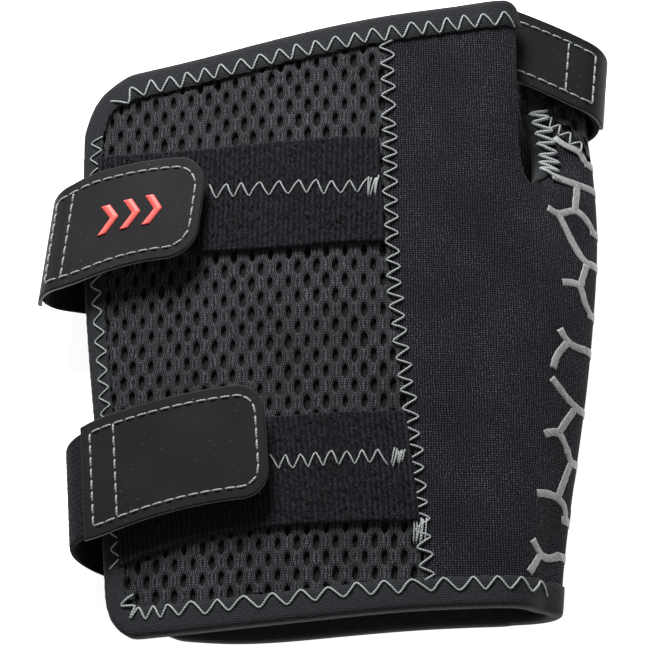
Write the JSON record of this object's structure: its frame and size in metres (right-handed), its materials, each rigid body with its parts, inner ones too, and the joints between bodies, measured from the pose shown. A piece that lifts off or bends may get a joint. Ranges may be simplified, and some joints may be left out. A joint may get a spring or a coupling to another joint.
{
  "type": "wrist guard",
  "caption": "Wrap-around wrist guard of air mesh and neoprene knit, closed by hook-and-loop straps, with a thumb hole and a removable palm stay.",
  "frame": {"origin": "bottom centre of the guard lying on its back", "axes": "+Y towards the hand end, +Z out of the palm side, +X towards the thumb side"},
  "size_m": [0.1456, 0.1665, 0.03],
  "materials": {
    "air_mesh": "open air mesh, matt",
    "neoprene_knit": "fine knit over foam, matt",
    "binding_tape": "ribbed stretch tape, matt",
    "loop_pile": "brushed loop pile",
    "strap_webbing": "brushed loop webbing",
    "tab_rubber": "smooth matt rubberised sheet",
    "hook_pad": "moulded hooks",
    "thread": "twisted sewing thread",
    "silicone_print": "printed grip, matt",
    "red_mark": "raised print, satin",
    "stay_metal": "satin",
    "pocket_fabric": "plain lining cloth"
  },
  "bodies": {
    "root": {"front_mesh_panel": "air_mesh", "back_mesh_panel": "air_mesh", "side_knit_panel": "neoprene_knit", "hand_end_binding_front": "binding_tape", "hand_end_binding_back": "binding_tape", "forearm_end_binding_front": "binding_tape", "forearm_end_binding_back": "binding_tape", "front_edge_binding": "binding_tape", "back_edge_binding": "binding_tape", "thumb_hole_binding": "binding_tape", "upper_loop_strip": "loop_pile", "lower_loop_strip": "loop_pile", "panel_seam_stitching": "thread", "binding_stitching": "thread", "loop_strip_stitching": "thread", "bar_tacks": "thread", "honeycomb_print": "silicone_print", "stay_pocket": "pocket_fabric", "upper_strap_base": "strap_webbing", "lower_strap_base": "strap_webbing", "hand_strap_base": "strap_webbing"},
    "upper_strap": {"upper_strap_webbing": "strap_webbing", "upper_strap_tab": "tab_rubber", "upper_strap_hook": "hook_pad", "upper_strap_stitching": "thread", "upper_tab_mark": "red_mark"},
    "lower_strap": {"lower_strap_webbing": "strap_webbing", "lower_strap_tab": "tab_rubber", "lower_strap_hook": "hook_pad", "lower_strap_stitching": "thread"},
    "hand_strap": {"hand_strap_webbing": "strap_webbing", "hand_strap_tab": "tab_rubber", "hand_strap_hook": "hook_pad", "hand_strap_stitching": "thread"},
    "palm_stay": {"palm_stay": "stay_metal"}
  },
  "joints": [
    {"name": "upper_strap_peel", "type": "hinge", "parent": "root", "child": "upper_strap", "pos_m": [-0.07041, 0.01675, 0.00975], "axis": [-0.1736, -0.9848, 0], "range_deg": [0, 165]},
    {"name": "lower_strap_peel", "type": "hinge", "parent": "root", "child": "lower_strap", "pos_m": [-0.06372, -0.04722, 0.01085], "axis": [0.0645, -0.9979, 0], "range_deg": [0, 165]},
    {"name": "hand_strap_peel", "type": "hinge", "parent": "root", "child": "hand_strap", "pos_m": [0.07188, 0.06136, 0.00725], "axis": [0.0958, 0.9954, 0], "range_deg": [0, 150]},
    {"name": "palm_stay_slide", "type": "slide", "parent": "root", "child": "palm_stay", "axis": [0, -1, 0], "range_m": [0, 0.1]}
  ]
}
